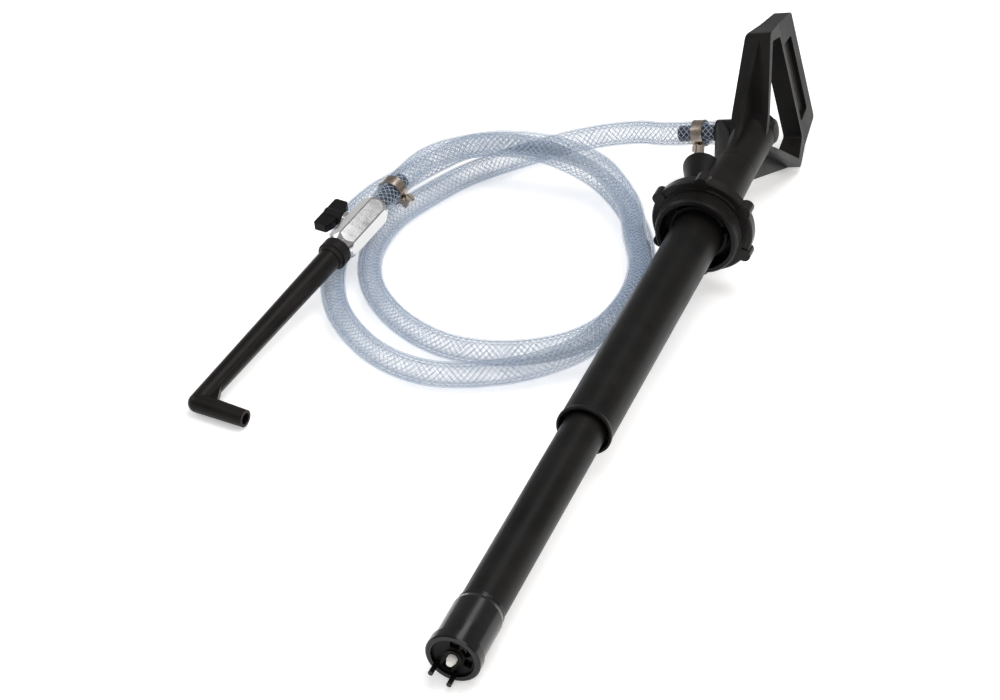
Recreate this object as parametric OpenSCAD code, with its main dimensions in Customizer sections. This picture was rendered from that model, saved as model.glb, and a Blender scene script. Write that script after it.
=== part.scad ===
// Hand-operated lift pump with a threaded bung ring, telescopic suction tube, clear hose, ball valve and spout.
// The pump lies on a surface. The pump's parts are drawn along its own axis: Z 0 is the front face of the bung
// thread, +Z runs to the handle, +X to the upper side of the handle and +Y along the discharge tube.

/* [Pose] */
// Tilt of the pump's axis above the surface, degrees
tilt = 3.62; // [3:0.01:4]
// Roll of the pump about its axis, degrees
roll = 14; // [0:1:25]
// X of the pump's axis
axis_x = 2.8; // [0:0.1:4]
// Y of the foot's front face
foot_y = -338.4; // [-345:0.1:-330]
// Height of the pump's axis at the foot's front face
foot_z = 17.1; // [16:0.01:20]

/* [Bung ring] */
// Major diameter of the bung thread (G 2)
thread_d = 59.6; // [59:0.1:60]
// Length of the thread
thread_l = 14; // [12:1:18]
// Pitch of the thread
thread_pitch = 2.3; // [2:0.1:3]
// Bore of the ring
ring_bore_d = 52; // [50:1:54]
// Diameter of the ring's flange
flange_d = 73; // [68:1:78]
// Thickness of the ring's flange
flange_t = 8; // [6:0.5:10]
// Number of lugs on the flange
lug_count = 6; // [4:1:8]

/* [Tubes] */
// Outer diameter of the outer tube
outer_d = 35.8; // [35:0.1:37]
// Wall of the outer tube
outer_wall = 1.3; // [1:0.1:1.6]
// Distance from the thread's front face to the lip of the outer tube
outer_reach = 225; // [200:5:260]
// Outer diameter of the suction tube
suction_d = 28.5; // [27:0.1:29]
// Wall of the suction tube
suction_wall = 1.5; // [1:0.1:1.8]
// Distance from the thread's front face to the front face of the foot
foot_reach = 443; // [420:1:480]
// Diameter of the foot cap
cap_d = 31.5; // [31:0.1:34]
// Diameter of the foot cap's end rim
rim_d = 34.2; // [33:0.1:36]

/* [Plunger] */
// Outer diameter of the hollow piston rod
rod_d = 14; // [13:0.5:15]
// Bore of the hollow piston rod
rod_bore = 10; // [8:0.5:11]
// Distance from the thread's front face down to the piston's lower face
piston_reach = 400; // [380:1:405]

/* [Neck and head] */
// Radius of the neck at its base
neck_r1 = 16.6; // [16:0.1:18]
// Radius of the neck at the seam
neck_r2 = 15.2; // [14.6:0.1:16]
// Height of the seam between neck and head
seam_z = 88.5; // [86:0.5:94]
// Height of the discharge tube's axis
cross_z = 143; // [140:0.5:146]
// Outer diameter of the discharge tube
cross_d = 19; // [17:0.5:20]
// Length of the discharge tube from the pump's axis to its left face
cross_left = 29.5; // [28:0.5:32]

/* [Handle] */
// Height of the handle's wide corners
corner_z = 185; // [180:1:190]
// Half width of the handle at its wide corners
corner_x = 57; // [50:0.5:60]
// Height of the grip's outer face
grip_z = 241; // [235:1:250]
// Half width of the handle at the grip
grip_x = 45; // [40:0.5:50]
// Depth of the grip, measured along the pump's axis
grip_t = 34; // [20:1:36]
// Width of the handle at the head
wide_w = 28; // [24:0.5:29]
// Width of the handle at the grip
narrow_w = 12.5; // [12:0.5:18]

/* [Hose and valve] */
// Outer diameter of the hose
hose_d = 18; // [17:0.5:18]
// Bore of the hose
hose_bore = 12; // [11:0.5:13]
// Size across the flats of the valve body
valve_af = 21; // [20:0.5:23]
// Length of the valve body
valve_l = 52; // [50:1:56]
// Length of the spout's long leg
spout_l = 176; // [170:1:182]
// Length of the spout's outlet leg
outlet_l = 37; // [30:1:45]

/* [Hidden] */
$fn = 96;

// Bung ring: the web inside the flange turns on the neck's journal
web_z = 16;
ring_top = thread_l + flange_t;
journal_r = 21.4;
shoulder_r = 24;
sleeve_r = 21;
sleeve_z = 6;

// Tubes
outer_r = outer_d / 2;
outer_bore_r = outer_r - outer_wall;
suction_r = suction_d / 2;
cylinder_r = suction_r - suction_wall;
suction_top = 14;
outer_top = 20;
foot_z0 = -foot_reach;

// Rod and piston
rod_r = rod_d / 2;
rod_bore_r = rod_bore / 2;
rod_top = 118;
piston_z = -piston_reach;

// Head and handle
head_z = seam_z + 0.3;
bush_z = seam_z - 17.5;
head_top = 148;
chamber_r = 5;
cross_r = cross_d / 2;
cap_end = 14.5;
hose_start = cross_left + 0.8;
barb_end = 60;

// Foot, measured up from its front face
cage_h = 3.5;
seat_h = 8.5;
poppet_lift = 4;

// Valve and spout: the axis starts at the elbow and runs up to the hose
elbow_at = [-253, -151, 7];
valve_yaw = 7.6;
valve_tilt = 7.5;
valve_z = spout_l;
tail_z = valve_z + valve_l;
hose_end_z = tail_z + 36;
stem_z = valve_z + 31;
nut_z = spout_l - 12;

// Corner points of the hose's route, from the discharge end to the valve end
hose_r = hose_d / 2;
route = [
    [-56, 247.4, 39.5], [-71, 248.5, 35.8], [-89, 254, 30.5], [-117, 257, 20.5], [-146, 250, 11.5],
    [-168, 228, 9], [-195, 190, 9], [-213, 147, 9], [-224, 103, 9], [-220, 56, 9], [-200, 14, 9],
    [-165, -18, 9], [-123, -33, 9], [-81, -24, 9], [-47, 4, 9], [-32, 44, 9], [-33, 86, 9], [-43, 130, 9],
    [-67, 172, 9.6], [-101, 203, 14.5], [-139, 205, 27], [-172, 201, 30.5], [-200, 194, 27],
    [-220, 181.5, 18.5], [-237, 161, 11.5], [-250, 132, 9.2], [-254, 97, 9], [-246, 60, 9], [-231, 13, 9],
    [-206, -27, 9], [-167, -58, 9], [-125, -67, 9], [-85, -52, 9.5], [-55, -30, 12], [-33, -8, 20],
    [-22.5, 38, 27], [-28.5, 80, 28], [-45.5, 118, 27.5], [-65, 158, 29.5], [-99, 188, 36], [-135, 192, 41],
    [-168, 181, 44], [-189, 165.5, 44.8], [-205, 148, 45], [-213.5, 130, 44.2], [-218.4, 108.4, 41.5]];
hose_sides = 10;
hose_steps = 2;

function unit(v) = v / norm(v);
function bend(a, b, c, d, t) = 0.5 * (2 * b + (c - a) * t + (2 * a - 5 * b + 4 * c - d) * t * t
    + (3 * b - a - 3 * c + d) * t * t * t);
function at(p, i) = i < 0 ? 2 * p[0] - p[1] : i >= len(p) ? 2 * p[len(p) - 1] - p[len(p) - 2] : p[i];
function spline(p, n) = [
    for (i = [0 : len(p) - 2], k = [0 : n - 1]) bend(at(p, i - 1), p[i], p[i + 1], at(p, i + 2), k / n),
    p[len(p) - 1]];
function heading(p, i) = unit(at(p, i + 1) - at(p, i - 1));
function ring_at(p, i, r, n) = let (t = heading(p, i), side = unit(cross(t, [0, 0, 1])), up = cross(side, t))
    [for (k = [0 : n - 1]) p[i] + r * (cos((k + 0.5) * 360 / n) * side + sin((k + 0.5) * 360 / n) * up)];
function corner(a, b, c, r, n) = let (u = unit(a - b), v = unit(c - b), half = acos(u * v) / 2,
    run = r / tan(half), mid = b + unit(u + v) * r / sin(half), d0 = unit(b + u * run - mid),
    d1 = unit(b + v * run - mid)) r == 0 ? [b] : [for (k = [0 : n]) mid + r * unit((n - k) * d0 + k * d1)];
function rounded(p, r, n = 5) = [for (i = [0 : len(p) - 1])
    each corner(p[(i + len(p) - 1) % len(p)], p[i], p[(i + 1) % len(p)], r[i], n)];

// A tube swept along points, closed at both ends
module sweep(points, r, n) {
    m = len(points);
    verts = [for (i = [0 : m - 1]) each ring_at(points, i, r, n)];
    sides = [for (i = [0 : m - 2], k = [0 : n - 1]) [i * n + k, (i + 1) * n + k, (i + 1) * n + (k + 1) % n]];
    more = [for (i = [0 : m - 2], k = [0 : n - 1]) [i * n + k, (i + 1) * n + (k + 1) % n, i * n + (k + 1) % n]];
    first = [[for (k = [0 : n - 1]) k]];
    last = [[for (k = [n - 1 : -1 : 0]) (m - 1) * n + k]];
    polyhedron(points = verts, faces = concat(sides, more, first, last));
}

module place_pump() {
    translate([axis_x, foot_y, foot_z]) rotate([tilt, 0, 0]) rotate([-90, -90, 0]) rotate([0, 0, -roll])
        translate([0, 0, foot_reach]) children();
}

// Along the valve's axis: +Z to the hose, +X level to the right, +Y downwards
module place_valve() {
    translate(elbow_at) rotate([0, 0, -valve_yaw]) rotate([valve_tilt, 0, 0]) rotate([-90, 0, 0]) children();
}

// Along the discharge tube: +Z points out of its left end
module along_cross() {
    translate([0, 0, cross_z]) rotate([90, 0, 0]) children();
}

// A ring or tube along Z
module tube(r, bore, z0, z1) {
    difference() {
        translate([0, 0, z0]) cylinder(r = r, h = z1 - z0);
        translate([0, 0, z0 - 1]) cylinder(r = bore, h = z1 - z0 + 2);
    }
}

// A solid of revolution about Z from a profile of [radius, height] points
module turned(profile) {
    rotate_extrude() polygon(profile);
}

// Socket for the outlet spout, moulded on the side of the neck
module spout_socket(shrink) {
    translate([0, -12.5, seam_z - 52.5]) rotate([10.5, 0, 0]) cylinder(r1 = 3.2 - shrink / 2, r2 = 18.6 - shrink, h = 66);
}

module neck() {
    color("#1b1a1a") place_pump() difference() {
        union() {
            turned([[0, sleeve_z], [sleeve_r, sleeve_z], [sleeve_r, 13], [23.4, 13], [23.4, web_z - 0.3],
                [journal_r, web_z - 0.3], [journal_r, ring_top + 0.3], [shoulder_r, ring_top + 0.3],
                [shoulder_r, ring_top + 2.3], [19, ring_top + 3.3], [neck_r1, ring_top + 7], [neck_r2, seam_z],
                [0, seam_z]]);
            difference() {
                spout_socket(0);
                translate([-40, -60, seam_z]) cube([80, 80, 40]);
            }
        }
        difference() {
            translate([0, 0, 1.5]) spout_socket(2);
            translate([0, 0, 30]) cylinder(r1 = 16.6, r2 = neck_r2, h = seam_z - 29.9);
        }
        translate([0, 0, sleeve_z - 1]) cylinder(r = 18.8, h = 9);
        translate([0, 0, sleeve_z - 1]) cylinder(r = outer_r, h = outer_top - sleeve_z + 1);
        translate([0, 0, sleeve_z]) cylinder(r = 13, h = bush_z + 1 - sleeve_z);
        translate([0, 0, bush_z]) cylinder(r = 11.4, h = 30);
        for (a = [85, 265]) rotate([0, 0, a]) translate([18, -3, sleeve_z - 1]) cube([8, 6, 6.5]);
    }
}

module outer_tube() {
    color("#201f1f") place_pump() turned([[outer_bore_r, -outer_reach + 0.6], [outer_bore_r + 0.5, -outer_reach],
        [outer_r + 0.3, -outer_reach], [outer_r + 0.7, -outer_reach + 0.5], [outer_r + 0.7, -outer_reach + 2],
        [outer_r, -outer_reach + 4], [outer_r, outer_top], [outer_bore_r, outer_top]]);
}

module tube_guide() {
    color("#242323") place_pump() tube(outer_bore_r, suction_r + 0.08, -outer_reach + 9, -outer_reach + 22);
}

module guide_bush() {
    color("#3a3a3c") place_pump() tube(11.4, rod_r + 0.06, bush_z, bush_z + 10);
}

module rod_seal() {
    color("#121212") place_pump() tube(11.4, rod_r + 0.03, bush_z + 10, bush_z + 13.5);
}

module seal_retainer() {
    color("#2a2a2c") place_pump() tube(11.4, rod_r + 0.4, bush_z + 13.5, seam_z - 0.3);
}

module bung_ring() {
    thread_r = thread_d / 2;
    color("#1c1b1b") place_pump() difference() {
        union() {
            turned([[0, 0], [thread_r - 1.2, 0], [thread_r, 1.2], [thread_r, thread_l - 1.5], [31.4, thread_l - 1.5],
                [31.8, thread_l], [flange_d / 2 - 1, thread_l], [flange_d / 2, thread_l + 1],
                [flange_d / 2, ring_top - 1], [flange_d / 2 - 1, ring_top], [0, ring_top]]);
            for (k = [0 : lug_count - 1]) rotate([0, 0, 12 + k * 360 / lug_count]) {
                translate([35.2, 0, thread_l - 1]) cylinder(r = 4.8, h = flange_t + 1.6);
            }
        }
        translate([0, 0, -1]) cylinder(d = ring_bore_d, h = web_z + 1);
        translate([0, 0, web_z - 1]) cylinder(r = journal_r + 0.08, h = 30);
        for (k = [0 : 3]) translate([0, 0, 2.6 + k * thread_pitch]) {
            turned([[thread_r + 1, -0.8], [thread_r - 1.1, 0.15], [thread_r - 1.1, 0.35], [thread_r + 1, 1.3]]);
        }
    }
}

module suction_tube() {
    color("#1d1c1b") place_pump() tube(suction_r, cylinder_r, foot_z0 + seat_h, suction_top);
}

module stop_collar() {
    color("#262626") place_pump() turned([[suction_r, -8], [outer_bore_r - 0.08, -8], [outer_bore_r - 0.08, 0],
        [15.3, 0], [15.3, 3], [outer_bore_r - 0.08, 3], [outer_bore_r - 0.08, 11], [suction_r, 11]]);
}

module collar_ring() {
    color("#101010") place_pump() tube(outer_bore_r - 0.04, 15.3, 0.2, 2.8);
}

module foot_cap() {
    cap_r = cap_d / 2;
    rim_r = rim_d / 2;
    color("#151414") place_pump() translate([0, 0, foot_z0]) difference() {
        turned([[0, 0], [rim_r - 0.8, 0], [rim_r, 0.8], [rim_r, 7], [cap_r, 8.2], [cap_r, 38.2], [14.9, 41],
            [14.9, 42], [14.6, 42.3], [14.6, 43], [14.9, 43.3], [14.9, 44], [0, 44]]);
        translate([0, 0, -1]) cylinder(r = 13.6, h = 5);
        translate([0, 0, 2]) cylinder(r = suction_r, h = 60);
    }
}

module foot_cage() {
    color("#1f1e1e") place_pump() translate([0, 0, foot_z0]) difference() {
        union() {
            translate([0, 0, 2]) cylinder(r = suction_r, h = cage_h);
            translate([0, 0, 0.6]) cylinder(r = 5.4, h = 3);
        }
        translate([0, 0, -1]) cylinder(r = 3.08, h = 10);
        for (a = [20, 70, 120, 220]) rotate([0, 0, a]) translate([6.6, -3, 1]) cube([5, 6, 6]);
        for (a = [-109, -171]) rotate([0, 0, a]) translate([12, 0, 1]) cylinder(r = 1.6, h = 6);
    }
}

module foot_seat() {
    color("#2c2b2a") place_pump() translate([0, 0, foot_z0]) difference() {
        translate([0, 0, 2 + cage_h]) cylinder(r = suction_r, h = seat_h - 2 - cage_h);
        translate([0, 0, 4]) cylinder(r1 = 10.5, r2 = 6.2, h = 3);
        translate([0, 0, 4]) cylinder(r = 6.2, h = 8);
    }
}

module foot_pins() {
    color("#171616") place_pump() translate([0, 0, foot_z0]) {
        for (a = [-109, -171]) rotate([0, 0, a]) translate([12, 0, -9]) cylinder(r = 1.6, h = 11 + cage_h);
    }
}

module foot_poppet() {
    color("#e4e1da") place_pump() translate([0, 0, foot_z0]) {
        turned([[0, -4.5], [2, -4.5], [3, -1.5], [3, seat_h + 0.1], [8.5, seat_h + 0.1], [8.5, seat_h + 2.4],
            [0, seat_h + 2.4]]);
    }
}

module pump_head() {
    color("#1e1d1d") place_pump() difference() {
        union() {
            head_solid();
            fairing();
        }
        translate([0, 0, head_z - 1]) cylinder(r = rod_r, h = rod_top - head_z + 1);
        translate([0, 0, rod_top - 1]) cylinder(r = chamber_r, h = cross_z - rod_top + 1);
        along_cross() cylinder(r = chamber_r, h = 40);
        along_cross() translate([0, 0, 12]) cylinder(r = 6.5, h = 40);
        along_cross() translate([0, 0, -16]) cylinder(r = 6.5, h = 10);
    }
}

// The head's round body and the discharge tube through it
module head_solid() {
    translate([0, 0, head_z]) cylinder(r = neck_r2, h = head_top - head_z);
    along_cross() translate([0, 0, -11.5]) cylinder(r = cross_r, h = cross_left + 11.5);
}

// Web that runs from the seam out to the end of the discharge tube
module fairing() {
    hull() {
        translate([0, 0, head_z]) cylinder(r = neck_r2 - 0.2, h = 2, $fn = 32);
        along_cross() translate([0, 0, cross_left - 3]) cylinder(r = cross_r - 0.1, h = 2, $fn = 32);
    }
}

module handle() {
    outer = rounded([[4, 123], [corner_x, corner_z], [grip_x, grip_z], [-grip_x, grip_z], [-corner_x, corner_z],
        [-4, 123]], [0, 8, 3.5, 3.5, 8, 0]);
    inner = rounded([[2, 126.5], [50, 186.5], [42.5, grip_z - grip_t], [-42.5, grip_z - grip_t], [-50, 186.5],
        [-2, 126.5]], [0, 4, 3, 3, 4, 0]);
    half = wide_w / 2;
    thin = narrow_w / 2;
    wedge = [[-half, 120], [half, 120], [half, 139], [9.8, corner_z], [thin + 0.8, 210], [thin, grip_z + 1],
        [-thin, grip_z + 1], [-thin - 0.8, 210], [-9.8, corner_z], [-half, 139]];
    color("#1a1919") place_pump() difference() {
        union() {
            intersection() {
                rotate([90, 0, 0]) linear_extrude(height = 40, center = true) polygon(outer);
                rotate([90, 0, 90]) linear_extrude(height = 140, center = true) polygon(wedge);
            }
            for (s = [0, 1]) mirror([s, 0, 0]) arm_fin();
        }
        rotate([90, 0, 0]) linear_extrude(height = 50, center = true) polygon(inner);
        head_solid();
        fairing();
        for (s = [0, 1]) mirror([0, s, 0]) grip_recess();
        along_cross() translate([0, 0, -18]) cylinder(r = 9.7, h = 6.6);
    }
}

// Fin along the outside of an arm, from the seam out to the wide corner
module arm_fin() {
    rotate([90, 0, 0]) linear_extrude(height = 3.2, center = true)
        polygon([[9, head_z + 3], [neck_r2, head_z + 7], [corner_x - 3, corner_z - 4], [corner_x - 6, corner_z - 5],
            [9, 132]]);
}

// Channel along the side of the grip
module grip_recess() {
    recess = rounded([[-33, grip_z - grip_t + 5.5], [33, grip_z - grip_t + 5.5], [31, grip_z - 11], [-31, grip_z - 11]],
        [2, 2, 2, 2], 3);
    translate([0, -3.6, 0]) rotate([90, 0, 0]) linear_extrude(height = 12) polygon(recess);
}

module end_cap() {
    color("#1c1b1b") place_pump() along_cross() mirror([0, 0, 1]) {
        turned([[0, 7], [6.5, 7], [6.5, 11.5], [9.4, 11.5], [9.4, 12.6], [8.4, 14.2], [5.6, cap_end + 0.9],
            [0, cap_end + 1.3]]);
    }
}

module discharge_barb() {
    bore_r = hose_bore / 2;
    color("#121212") place_pump() along_cross() difference() {
        turned([[0, 12.2], [6.5, 12.2], [6.5, cross_left], [bore_r + 2, cross_left], [bore_r + 2, hose_start],
            [bore_r, hose_start], [bore_r, barb_end - 1], [bore_r - 1, barb_end], [0, barb_end]]);
        cylinder(r = 4, h = 80);
    }
}

module piston_rod() {
    color("#55555a") place_pump() tube(rod_r, rod_bore_r, piston_z + 11, rod_top);
}

module piston() {
    color("#232323") place_pump() difference() {
        turned([[0, piston_z], [12.2, piston_z], [12.2, piston_z + 4], [10.4, piston_z + 4], [10.4, piston_z + 9],
            [12.2, piston_z + 9], [12.2, piston_z + 14], [0, piston_z + 14]]);
        translate([0, 0, piston_z - 1]) cylinder(r = 3.2, h = 10);
        translate([0, 0, piston_z + 5]) cylinder(r = 5.6, h = 6.1);
        translate([0, 0, piston_z + 11]) cylinder(r = rod_r, h = 10);
    }
}

module piston_seal() {
    color("#101010") place_pump() tube(cylinder_r - 0.05, 10.4, piston_z + 4, piston_z + 9);
}

module piston_nut() {
    color("#8a8a8e") place_pump() difference() {
        translate([0, 0, piston_z + 14]) cylinder(r = 11.5, h = 5, $fn = 6);
        translate([0, 0, piston_z + 10]) cylinder(r = rod_r, h = 20);
    }
}

module piston_poppet() {
    color("#dedbd4") place_pump() translate([0, 0, piston_z]) {
        turned([[0, 1], [2.7, 1], [2.7, 5.1], [5, 5.1], [5, 7.3], [0, 7.3]]);
    }
}

module hose_head_end() {
    color("#b9c8dc") place_pump() along_cross() tube(hose_r, hose_bore / 2, hose_start, barb_end);
}

// A band round the hose, with a screw across its lug
module clamp_band() {
    tube(hose_r + 0.9, hose_r, 0, 8.5);
    difference() {
        translate([hose_r - 1, -2.5, 1.25]) cube([7.6, 5, 6]);
        translate([0, 0, -1]) cylinder(r = hose_r, h = 12);
        translate([hose_r + 4.3, -6, 4.25]) rotate([-90, 0, 0]) cylinder(r = 1.6, h = 12);
    }
}

module clamp_screw() {
    translate([hose_r + 4.3, -4.5, 4.25]) rotate([-90, 0, 0]) cylinder(r = 1.6, h = 7);
    difference() {
        translate([hose_r + 4.3, 2.5, 4.25]) rotate([-90, 0, 0]) cylinder(r = 3.7, h = 3.6, $fn = 6);
        translate([hose_r + 4.3 - 5, 4.9, 3.85]) cube([10, 2, 0.8]);
    }
}

module head_clamp_band() {
    color("#9c8d7c") place_pump() along_cross() translate([0, 0, 39.5]) rotate([0, 0, 225]) clamp_band();
}

module head_clamp_screw() {
    color("#a89783") place_pump() along_cross() translate([0, 0, 39.5]) rotate([0, 0, 225]) clamp_screw();
}

module hose() {
    color("#b9c8dc") sweep(spline(route, hose_steps), hose_r, hose_sides);
}

module hose_valve_end() {
    color("#b9c8dc") place_valve() tube(hose_r, hose_bore / 2, tail_z, hose_end_z);
}

module valve_clamp_band() {
    color("#9c8d7c") place_valve() translate([0, 0, tail_z + 18]) rotate([0, 0, 32]) mirror([0, 1, 0]) clamp_band();
}

module valve_clamp_screw() {
    color("#a89783") place_valve() translate([0, 0, tail_z + 18]) rotate([0, 0, 32]) mirror([0, 1, 0]) clamp_screw();
}

module valve_tail() {
    bore_r = hose_bore / 2;
    color("#141414") place_valve() difference() {
        turned([[0, tail_z - 9], [7, tail_z - 9], [7, tail_z - 0.5], [bore_r, tail_z - 0.5], [bore_r, hose_end_z - 1],
            [bore_r - 1, hose_end_z], [0, hose_end_z]]);
        translate([0, 0, tail_z - 20]) cylinder(r = 4, h = 80);
    }
}

module valve_body() {
    color("#c9cacc") place_valve() difference() {
        intersection() {
            translate([0, 0, valve_z]) rotate([0, 0, 30]) cylinder(r = valve_af / sqrt(3), h = valve_l, $fn = 6);
            turned([[0, valve_z], [9.3, valve_z], [11.8, valve_z + 5], [11.8, tail_z - 6], [9.6, tail_z],
                [0, tail_z]]);
        }
        translate([0, 0, valve_z - 1]) cylinder(r = 8, h = 22);
        translate([0, 0, valve_z]) cylinder(r = 7.6, h = valve_l - 9);
        translate([0, 0, tail_z - 12]) cylinder(r = 7, h = 20);
        translate([0, 0, stem_z]) rotate([0, -90, 0]) cylinder(r = 3.4, h = 20);
    }
}

module valve_insert() {
    color("#b08d45") place_valve() tube(8, 4, valve_z + 4, valve_z + 21);
}

module ball_seats() {
    color("#ecebe6") place_valve() {
        ball_seat(valve_z + 21, valve_z + 25.5);
        ball_seat(stem_z + 5.5, tail_z - 9);
    }
}

module ball_seat(z0, z1) {
    difference() {
        tube(7.6, 4, z0, z1);
        translate([0, 0, stem_z]) sphere(r = 7.15);
    }
}

module valve_ball() {
    color("#d5d6d8") place_valve() translate([0, 0, stem_z]) difference() {
        sphere(r = 7.1);
        translate([0, 0, -10]) cylinder(r = 4, h = 20);
        translate([-9, -1.2, -3]) cube([4, 2.4, 6]);
    }
}

module stem_seal() {
    color("#151515") place_valve() translate([0, 0, stem_z]) rotate([0, -90, 0]) tube(3.4, 2.05, 8.4, 9.9);
}

module stem_nut() {
    color("#b9babd") place_valve() translate([0, 0, stem_z]) rotate([0, -90, 0]) difference() {
        turned([[0, valve_af / 2], [6, valve_af / 2], [6, 13.2], [5, 14.2], [0, 14.2]]);
        cylinder(r = 2.1, h = 30);
    }
}

module valve_stem() {
    color("#c3b184") place_valve() translate([0, 0, stem_z]) rotate([0, -90, 0]) union() {
        translate([-3, -1.15, 5.6]) cube([6, 2.3, 2.1]);
        translate([0, 0, 7.7]) cylinder(r = 2, h = 18.3);
    }
}

module valve_lever() {
    color("#161616") place_valve() translate([0, 0, stem_z]) rotate([0, -90, 0]) difference() {
        union() {
            translate([0, 0, 15]) cylinder(r = 5, h = 14);
            lever_wing();
            mirror([1, 0, 0]) lever_wing();
        }
        translate([0, 0, 10]) cylinder(r = 2, h = 16);
        translate([0, 0, 26]) cylinder(r = 3.2, h = 10);
    }
}

module lever_wing() {
    rotate([90, 0, 0]) linear_extrude(height = 6, center = true)
        polygon(rounded([[0, 17.5], [8.5, 17.5], [15.2, 20], [15.2, 30], [0, 30]], [0, 0, 1.5, 1.5, 0], 4));
}

module lever_screw() {
    color("#8b8378") place_valve() translate([0, 0, stem_z]) rotate([0, -90, 0]) difference() {
        translate([0, 0, 26]) cylinder(r = 3.1, h = 1.8);
        translate([-5, -0.4, 27.2]) cube([10, 0.8, 2]);
    }
}

module spout_nut() {
    color("#171616") place_valve() difference() {
        turned([[0, nut_z], [8.8, nut_z], [9.6, nut_z + 3], [10.75, nut_z + 3.4], [10.75, spout_l - 1],
            [10.2, spout_l], [0, spout_l]]);
        translate([0, 0, nut_z - 1]) cylinder(r = 7.9, h = 30);
    }
}

module spout_seal() {
    color("#111111") place_valve() tube(8, 4.1, valve_z + 2, valve_z + 4);
}

module spout() {
    color("#1a1919") place_valve() difference() {
        union() {
            turned([[0, 0], [6.6, 0], [8.25, nut_z - 0.3], [7.8, nut_z - 0.3], [7.8, spout_l + 1.8],
                [0, spout_l + 1.8]]);
            sphere(r = 6.6);
            rotate([0, 90, 0]) cylinder(r1 = 6.6, r2 = 5.9, h = outlet_l);
            elbow_gusset();
        }
        translate([0, 0, 0]) cylinder(r = 4, h = 300);
        sphere(r = 4);
        rotate([0, 90, 0]) cylinder(r = 4, h = 80);
    }
}

// Web in the inside corner of the elbow
module elbow_gusset() {
    rotate([-90, 0, 0]) linear_extrude(height = 5, center = true) polygon([[0, 0], [11.5, -6], [6.8, -17], [0, -17]]);
}

neck();
outer_tube();
tube_guide();
guide_bush();
rod_seal();
seal_retainer();
bung_ring();
suction_tube();
stop_collar();
collar_ring();
foot_cap();
foot_cage();
foot_seat();
foot_pins();
foot_poppet();
pump_head();
handle();
end_cap();
discharge_barb();
piston_rod();
piston();
piston_seal();
piston_nut();
piston_poppet();
hose_head_end();
head_clamp_band();
head_clamp_screw();
hose();
hose_valve_end();
valve_clamp_band();
valve_clamp_screw();
valve_tail();
valve_body();
valve_insert();
ball_seats();
valve_ball();
stem_seal();
stem_nut();
valve_stem();
valve_lever();
lever_screw();
spout_nut();
spout_seal();
spout();
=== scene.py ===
"""Looks of a hand-operated lift pump: camera, clear braided hose, materials, light and floor."""
import math

import bpy
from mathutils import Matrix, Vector


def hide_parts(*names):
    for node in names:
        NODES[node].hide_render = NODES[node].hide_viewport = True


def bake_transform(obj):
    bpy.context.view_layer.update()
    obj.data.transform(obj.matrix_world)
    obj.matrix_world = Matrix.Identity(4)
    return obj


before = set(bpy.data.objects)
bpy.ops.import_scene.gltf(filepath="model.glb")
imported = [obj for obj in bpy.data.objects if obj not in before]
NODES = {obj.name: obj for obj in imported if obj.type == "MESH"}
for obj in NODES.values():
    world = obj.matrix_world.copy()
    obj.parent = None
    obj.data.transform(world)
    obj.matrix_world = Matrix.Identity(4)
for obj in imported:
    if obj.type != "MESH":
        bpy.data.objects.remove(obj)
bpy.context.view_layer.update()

# ---------------------------------------------------------------- camera
CAMERA_AT = (0.4582, -1.4258, 1.0201)
CAMERA_ELEVATION = math.radians(33.891)
CAMERA_AZIMUTH = math.radians(21.408)
LENS_MM = 97.55

camera_data = bpy.data.cameras.new("camera")
camera_data.lens = LENS_MM
camera_data.sensor_width = 36
camera_data.clip_start = 0.05
camera_data.clip_end = 60
camera = bpy.data.objects.new("camera", camera_data)
bpy.context.scene.collection.objects.link(camera)
looking = Vector((
    -math.sin(CAMERA_AZIMUTH) * math.cos(CAMERA_ELEVATION),
    math.cos(CAMERA_AZIMUTH) * math.cos(CAMERA_ELEVATION),
    -math.sin(CAMERA_ELEVATION)))
camera.location = CAMERA_AT
camera.rotation_mode = "QUATERNION"
camera.rotation_quaternion = looking.to_track_quat("-Z", "Y")
bpy.context.scene.camera = camera


# ---------------------------------------------------------------- mesh helpers
def mesh_object(name, verts, faces, material, smooth=True):
    mesh = bpy.data.meshes.new(name)
    mesh.from_pydata([tuple(v) for v in verts], [], faces)
    mesh.update()
    if smooth:
        mesh.polygons.foreach_set("use_smooth", [True] * len(mesh.polygons))
    mesh.materials.append(material)
    made = bpy.data.objects.new(name, mesh)
    bpy.context.scene.collection.objects.link(made)
    return made


def catmull(a, b, c, d, t):
    return 0.5 * (2 * b + (c - a) * t + (2 * a - 5 * b + 4 * c - d) * t * t
                  + (3 * b - a - 3 * c + d) * t * t * t)


def smooth_line(points, steps):
    """A Catmull-Rom curve through the points, as part.scad's spline."""
    n = len(points)
    p = [2 * points[0] - points[1], *points, 2 * points[-1] - points[-2]]
    out = [catmull(p[i], p[i + 1], p[i + 2], p[i + 3], k / steps)
           for i in range(n - 1) for k in range(steps)]
    return out + [points[-1]]


def evenly(points, step):
    """The line again with points at equal distances."""
    along = [0.0]
    for a, b in zip(points, points[1:]):
        along.append(along[-1] + (b - a).length)
    count = max(2, round(along[-1] / step))
    out, i = [], 0
    for k in range(count + 1):
        s = along[-1] * k / count
        while i < len(along) - 2 and along[i + 1] < s:
            i += 1
        t = (s - along[i]) / max(along[i + 1] - along[i], 1e-12)
        out.append(points[i].lerp(points[i + 1], min(max(t, 0), 1)))
    return out, along[-1] / count


def turning_frames(points):
    """Direction, side and up at each point, carried along the line without twist."""
    last = len(points) - 1
    ways = [(points[min(i + 1, last)] - points[max(i - 1, 0)]).normalized() for i in range(last + 1)]
    side = ways[0].cross(Vector((0, 0, 1))).normalized()
    out = []
    for way in ways:
        side = (side - way * side.dot(way)).normalized()
        out.append((way, side, side.cross(way)))
    return out


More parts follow.
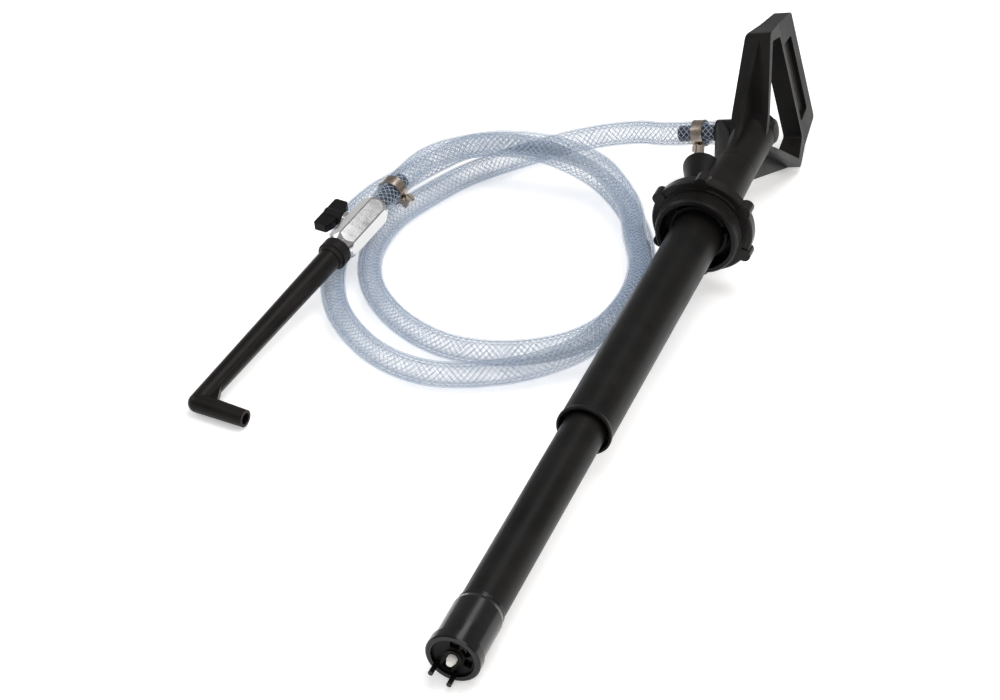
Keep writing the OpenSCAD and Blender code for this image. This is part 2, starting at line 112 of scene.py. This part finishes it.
# ---------------------------------------------------------------- hose route, the one in part.scad
ROUTE_MM = [
    (-56, 247.4, 39.5), (-71, 248.5, 35.8), (-89, 254, 30.5), (-117, 257, 20.5), (-146, 250, 11.5),
    (-168, 228, 9), (-195, 190, 9), (-213, 147, 9), (-224, 103, 9), (-220, 56, 9), (-200, 14, 9),
    (-165, -18, 9), (-123, -33, 9), (-81, -24, 9), (-47, 4, 9), (-32, 44, 9), (-33, 86, 9), (-43, 130, 9),
    (-67, 172, 9.6), (-101, 203, 14.5), (-139, 205, 27), (-172, 201, 30.5), (-200, 194, 27),
    (-220, 181.5, 18.5), (-237, 161, 11.5), (-250, 132, 9.2), (-254, 97, 9), (-246, 60, 9), (-231, 13, 9),
    (-206, -27, 9), (-167, -58, 9), (-125, -67, 9), (-85, -52, 9.5), (-55, -30, 12), (-33, -8, 20),
    (-22.5, 38, 27), (-28.5, 80, 28), (-45.5, 118, 27.5), (-65, 158, 29.5), (-99, 188, 36), (-135, 192, 41),
    (-168, 181, 44), (-189, 165.5, 44.8), (-205, 148, 45), (-213.5, 130, 44.2), (-218.4, 108.4, 41.5)]
HOSE_R = 0.009
HOSE_BORE_R = 0.006
BRAID_R = 0.0078
HOSE_STEP = 0.003
LINE_STEPS, HEAD_STEPS, TAIL_STEPS = 12, 6, 8      # parts of each route span and of the straight ends
HEAD_FACE = Vector((-0.0266, 0.2469, 0.0468))       # where the hose meets the discharge tube
route = [Vector(p) / 1000 for p in ROUTE_MM]
# The valve's own axis, up towards the hose
VALVE_YAW, VALVE_TILT = math.radians(7.6), math.radians(7.5)
valve_way = Vector((math.sin(VALVE_YAW) * math.cos(VALVE_TILT),
                    math.cos(VALVE_YAW) * math.cos(VALVE_TILT), math.sin(VALVE_TILT)))
ELBOW = Vector((-0.253, -0.151, 0.007))
VALVE_REACH = 0.2285                                # from the spout's elbow to where the hose meets the valve
valve_start = ELBOW + valve_way * VALVE_REACH
line = smooth_line(route, LINE_STEPS)
head_run = [HEAD_FACE.lerp(route[0], k / HEAD_STEPS) for k in range(HEAD_STEPS)]
tail_run = [route[-1].lerp(valve_start, k / TAIL_STEPS) for k in range(1, TAIL_STEPS + 1)]
centre, hose_step = evenly(head_run + line + tail_run, HOSE_STEP)
frames = turning_frames(centre)


def on_hose(i, angle, radius):
    """A point at a fractional ring index, an angle and a radius round the hose."""
    j = min(int(i), len(centre) - 2)
    t = i - j
    mid = centre[j].lerp(centre[j + 1], t)
    side = frames[j][1].lerp(frames[j + 1][1], t)
    up = frames[j][2].lerp(frames[j + 1][2], t)
    return mid + (side * math.cos(angle) + up * math.sin(angle)) * radius


def hose_tube(name, material, sides=32):
    """The wall of the hose: outside, bore and two end faces."""
    verts, faces = [], []
    rings = len(centre)
    for radius in (HOSE_R, HOSE_BORE_R):
        for i in range(rings):
            verts += [on_hose(i, 2 * math.pi * k / sides, radius) for k in range(sides)]
    inner = rings * sides
    for i in range(rings - 1):
        for k in range(sides):
            a, b = i * sides + k, i * sides + (k + 1) % sides
            faces.append((a, a + sides, b + sides, b))
            faces.append((inner + a, inner + b, inner + b + sides, inner + a + sides))
    for i in (0, rings - 1):
        for k in range(sides):
            a, b = i * sides + k, i * sides + (k + 1) % sides
            face = (a, b, inner + b, inner + a)
            faces.append(face if i == 0 else face[::-1])
    return mesh_object(name, verts, faces, material)


YARNS = 10                 # each way round
LEAD = 0.043               # length of hose per turn of a yarn
TURN_PARTS = 14            # straight parts per turn of a yarn
YARN_HALF, YARN_THICK = 0.00028, 0.00022
WEAVE = 0.00008            # how far a yarn rises and dips


def braid(name, material, hand):
    """The yarns that run one way round in the hose's wall, each a flat lens in section."""
    verts, faces = [], []
    turns = (len(centre) - 1) * hose_step / LEAD
    parts = int(turns * TURN_PARTS)
    for yarn in range(YARNS):
        first = len(verts)
        for s in range(parts + 1):
            share = s / parts
            angle = hand * 2 * math.pi * turns * share + 2 * math.pi * yarn / YARNS
            i = share * (len(centre) - 1)
            weave = math.sin(YARNS * 2 * math.pi * turns * share * 0.5 + math.pi * yarn) * WEAVE * hand
            wide = YARN_HALF / BRAID_R
            for da, dr in ((-wide, 0), (0, YARN_THICK), (wide, 0), (0, -YARN_THICK)):
                verts.append(on_hose(i, angle + da, BRAID_R + weave + dr))
        for s in range(parts):
            for k in range(4):
                a, b = first + s * 4 + k, first + s * 4 + (k + 1) % 4
                face = (a, a + 4, b + 4, b)
                faces.append(face if hand > 0 else face[::-1])
        faces.append(tuple(first + k for k in range(4)))
        faces.append(tuple(first + parts * 4 + 3 - k for k in range(4)))
    return mesh_object(name, verts, faces, material)


# ---------------------------------------------------------------- materials
class Shader:
    """A node tree with a Principled shader, and short ways to feed it."""

    def __init__(self, name):
        self.material = bpy.data.materials.new(name)
        self.material.use_nodes = True
        self.tree = self.material.node_tree
        self.p = self.tree.nodes["Principled BSDF"]
        self.co = self.tree.nodes.new("ShaderNodeTexCoord").outputs["Object"]

    def node(self, kind, inputs=None, **props):
        made = self.tree.nodes.new(kind)
        for k, v in props.items():
            setattr(made, k, v)
        for k, v in (inputs or {}).items():
            self.feed(made.inputs[k], v)
        return made

    def feed(self, socket, value):
        if isinstance(value, bpy.types.NodeSocket):
            self.tree.links.new(value, socket)
        else:
            socket.default_value = value

    def set(self, **values):
        for k, v in values.items():
            self.feed(self.p.inputs[k.replace("_", " ")], v)

    def noise(self, scale, detail=3.0, rough=0.55, co=None):
        return self.node("ShaderNodeTexNoise", {"Vector": co or self.co, "Scale": scale, "Detail": detail,
                                                "Roughness": rough}).outputs["Fac"]

    def ranged(self, value, a, b, c, d):
        return self.node("ShaderNodeMapRange", {"Value": value, "From Min": a, "From Max": b,
                                                "To Min": c, "To Max": d}).outputs["Result"]

    def mix(self, factor, a, b):
        made = self.node("ShaderNodeMix", data_type="RGBA")
        self.feed(made.inputs["Factor"], factor)
        self.feed(made.inputs[6], (*a, 1) if isinstance(a, tuple) else a)
        self.feed(made.inputs[7], (*b, 1) if isinstance(b, tuple) else b)
        return made.outputs[2]

    def math(self, operation, a, b=0.0):
        made = self.node("ShaderNodeMath", operation=operation)
        self.feed(made.inputs[0], a)
        self.feed(made.inputs[1], b)
        return made.outputs[0]

    def bump(self, height, strength, distance):
        self.feed(self.p.inputs["Normal"],
                  self.node("ShaderNodeBump", {"Height": height, "Strength": strength,
                                               "Distance": distance}).outputs["Normal"])

    def stretched(self, scale, rotation=(0, 0, 0)):
        return self.node("ShaderNodeMapping", {"Vector": self.co, "Scale": scale,
                                               "Rotation": rotation}).outputs["Vector"]


PUMP_TILT = math.radians(3.62)


def black_plastic(name, dark, light, rough, grain=0.5, streak=0.0, coat=0.0, specular=0.12):
    """Moulded black plastic: fine grain, faint clouds, small scuffs, and lengthwise draw marks if asked."""
    s = Shader(name)
    cloud = s.noise(38.0, 4.0)
    fine = s.noise(900.0, 2.0)
    scuff = s.ranged(s.noise(210.0, 5.0, 0.75), 0.62, 0.78, 0.0, 1.0)
    colour = s.mix(s.ranged(cloud, 0.35, 0.7, 0.0, 1.0), dark, light)
    worn = tuple(min(1, x * 1.9 + 0.012) for x in light)
    s.set(Base_Color=s.mix(s.math("MULTIPLY", scuff, 0.35), colour, worn))
    low = s.ranged(cloud, 0.3, 0.7, rough - 0.05, rough + 0.06)
    s.set(Roughness=s.math("ADD", low, s.math("MULTIPLY", scuff, 0.08)))
    height = s.math("ADD", s.math("MULTIPLY", fine, grain), s.math("MULTIPLY", scuff, 0.2))
    if streak:
        along = s.stretched((420.0, 6.0, 420.0), (-PUMP_TILT, 0, 0))
        height = s.math("ADD", height, s.math("MULTIPLY", s.noise(1.0, 3.0, co=along), streak))
    s.bump(height, 0.35, 0.0002)
    s.set(Coat_Weight=coat, Coat_Roughness=0.12, Specular_IOR_Level=specular)
    return s.material


def metal(name, dark, light, rough, scale=(900.0, 900.0, 40.0), strength=0.25, tarnish=None):
    """Bare or plated metal with fine working marks, and tarnish in patches if asked."""
    s = Shader(name)
    marks = s.noise(1.0, 4.0, co=s.stretched(scale))
    cloud = s.noise(120.0, 4.0, 0.65)
    colour = s.mix(marks, dark, light)
    if tarnish:
        colour = s.mix(s.ranged(cloud, 0.45, 0.7, 0.0, 0.8), colour, tarnish)
    s.set(Base_Color=colour, Roughness=s.ranged(cloud, 0.3, 0.7, rough * 0.8, rough * 1.35))
    s.set(Metallic=1.0)
    s.bump(marks, strength, 0.00006)
    return s.material


def plain_plastic(name, dark, light, rough, sub):
    """Pale moulded plastic that light enters a little."""
    s = Shader(name)
    cloud = s.noise(160.0, 4.0)
    s.set(Base_Color=s.mix(cloud, dark, light),
          Roughness=s.ranged(cloud, 0.3, 0.7, rough - 0.06, rough + 0.08))
    s.bump(s.noise(700.0, 3.0), 0.3, 0.0002)
    s.set(Subsurface_Weight=sub, Subsurface_Scale=0.002)
    return s.material


def hose_wall(name):
    """Clear blue-tinted vinyl: nearly clear seen square on, milky blue where the wall is seen edge on."""
    s = Shader(name)
    edge = s.node("ShaderNodeLayerWeight", {"Blend": 0.42}).outputs["Facing"]
    haze = s.noise(55.0, 3.0)
    body = s.mix(s.ranged(haze, 0.35, 0.65, 0.0, 1.0), (0.24, 0.36, 0.55), (0.33, 0.45, 0.63))
    s.set(Base_Color=s.mix(edge, body, (0.13, 0.22, 0.37)))
    s.set(Alpha=s.math("ADD", s.ranged(s.math("POWER", edge, 2.2), 0.0, 1.0, 0.06, 0.82),
                       s.ranged(haze, 0.3, 0.7, -0.03, 0.05)))
    s.set(Roughness=0.16, Specular_IOR_Level=0.6, Coat_Weight=0.6, Coat_Roughness=0.05)
    s.bump(s.noise(140.0, 2.0), 0.25, 0.0004)
    return s.material


def yarn(name):
    """The blue-grey thread of the braid."""
    s = Shader(name)
    twist = s.noise(330.0, 2.0)
    s.set(Base_Color=s.mix(s.ranged(twist, 0.4, 0.6, 0.0, 1.0), (0.42, 0.48, 0.58), (0.62, 0.67, 0.74)),
          Roughness=0.4)
    s.bump(twist, 0.4, 0.0002)
    s.set(Sheen_Weight=0.2)
    return s.material


MATERIALS = {
    "body_black": black_plastic("body_black", (0.0052, 0.0047, 0.0044), (0.0098, 0.0086, 0.0080), 0.42),
    "ring_black": black_plastic("ring_black", (0.0045, 0.0041, 0.0038), (0.0085, 0.0074, 0.0068), 0.33,
                                coat=0.05, specular=0.2),
    "tube_black": black_plastic("tube_black", (0.0048, 0.0045, 0.0043), (0.0086, 0.0078, 0.0074),
                                0.38, 0.3, 0.8),
    "cap_black": black_plastic("cap_black", (0.0038, 0.0036, 0.0035), (0.0062, 0.0057, 0.0054), 0.2, 0.2,
                               coat=0.1, specular=0.28),
    "lever_black": black_plastic("lever_black", (0.0050, 0.0050, 0.0050), (0.0090, 0.0086, 0.0084),
                                 0.48, 0.9),
    "spout_black": black_plastic("spout_black", (0.0055, 0.0047, 0.0043), (0.0110, 0.0088, 0.0078),
                                 0.36, 0.35),
    "rubber": black_plastic("rubber", (0.0050, 0.0050, 0.0050), (0.0090, 0.0090, 0.0090), 0.7, 0.8),
    "white_plastic": plain_plastic("white_plastic", (0.66, 0.64, 0.60), (0.82, 0.80, 0.76), 0.42, 0.15),
    "rod_steel": metal("rod_steel", (0.38, 0.38, 0.39), (0.58, 0.58, 0.59), 0.25),
    "clamp_steel": metal("clamp_steel", (0.30, 0.255, 0.22), (0.52, 0.455, 0.40), 0.24, (700.0, 700.0, 700.0),
                         tarnish=(0.19, 0.13, 0.095)),
    "chrome": metal("chrome", (0.60, 0.60, 0.61), (0.68, 0.68, 0.68), 0.14, (8.0, 8.0, 8.0), strength=0.0),
    "brass": metal("brass", (0.50, 0.37, 0.17), (0.72, 0.56, 0.29), 0.28),
    "hose_wall": hose_wall("hose_wall"),
    "yarn": yarn("yarn"),
}

WEARS = {
    "body_black": ["neck", "guide_bush", "seal_retainer", "pump_head", "handle", "end_cap", "piston",
                   "tube_guide", "stop_collar", "foot_cage", "foot_seat", "spout_nut"],
    "ring_black": ["bung_ring"],
    "tube_black": ["outer_tube", "suction_tube"],
    "cap_black": ["foot_cap", "foot_pins", "discharge_barb", "valve_tail"],
    "lever_black": ["valve_lever"],
    "spout_black": ["spout"],
    "rubber": ["rod_seal", "collar_ring", "piston_seal", "stem_seal", "spout_seal"],
    "white_plastic": ["foot_poppet", "piston_poppet", "ball_seats"],
    "rod_steel": ["piston_rod", "piston_nut"],
    "clamp_steel": ["head_clamp_band", "head_clamp_screw", "valve_clamp_band", "valve_clamp_screw"],
    "chrome": ["valve_body", "valve_ball", "stem_nut"],
    "brass": ["valve_insert", "valve_stem", "lever_screw"],
    "hose_wall": ["hose", "hose_head_end", "hose_valve_end"],
}
for material_name, members in WEARS.items():
    for node in members:
        slots = NODES[node].data.materials
        if not slots:
            slots.append(MATERIALS[material_name])
        for k in range(len(slots)):
            slots[k] = MATERIALS[material_name]

# ---------------------------------------------------------------- hose pieces
hose = hose_tube("clear_hose", MATERIALS["hose_wall"])
yarns = [braid("braid_right", MATERIALS["yarn"], 1), braid("braid_left", MATERIALS["yarn"], -1)]
for piece in (hose, *yarns):
    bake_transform(piece)
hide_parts("hose", "hose_head_end", "hose_valve_end")


# ---------------------------------------------------------------- floor and light
FLOOR_HALF = 12.0
FLOOR_Z = -0.0006          # just under the lowest point of the hose


def stage_floor():
    s = Shader("floor")
    s.set(Base_Color=s.mix(s.noise(3.0), (0.90, 0.90, 0.90), (0.93, 0.93, 0.93)), Roughness=0.7)
    s.set(Emission_Color=(1, 1, 1, 1), Emission_Strength=0.35)
    corners = [(x * FLOOR_HALF, y * FLOOR_HALF, FLOOR_Z) for x, y in ((-1, -1), (1, -1), (1, 1), (-1, 1))]
    floor = mesh_object("floor", corners, [(0, 1, 2, 3)], s.material, smooth=False)


def area_light(name, at, target, size, watts, colour=(1, 1, 1)):
    data = bpy.data.lights.new(name, "AREA")
    data.shape = "RECTANGLE"
    data.size = data.size_y = size
    data.energy = watts
    data.color = colour
    made = bpy.data.objects.new(name, data)
    made.location = at
    made.rotation_mode = "QUATERNION"
    made.rotation_quaternion = (Vector(target) - Vector(at)).to_track_quat("-Z", "Y")
    bpy.context.scene.collection.objects.link(made)


stage_floor()
area_light("light_top", (0.25, 0.35, 1.9), (-0.05, 0, 0), 1.5, 23)
area_light("light_left", (-1.7, -0.3, 1.2), (-0.1, 0, 0), 1.1, 10)
area_light("light_right", (1.6, 0.2, 0.9), (0, 0, 0), 0.9, 12, (1.0, 0.94, 0.88))
area_light("light_front", (0.5, -2.1, 1.5), (0, 0, 0), 1.2, 10)

world = bpy.data.worlds.new("studio")
bpy.context.scene.world = world
world.use_nodes = True
background = world.node_tree.nodes["Background"]
background.inputs["Color"].default_value = (1, 1, 1, 1)
background.inputs["Strength"].default_value = 0.35
bpy.context.scene.view_settings.view_transform = "Standard"
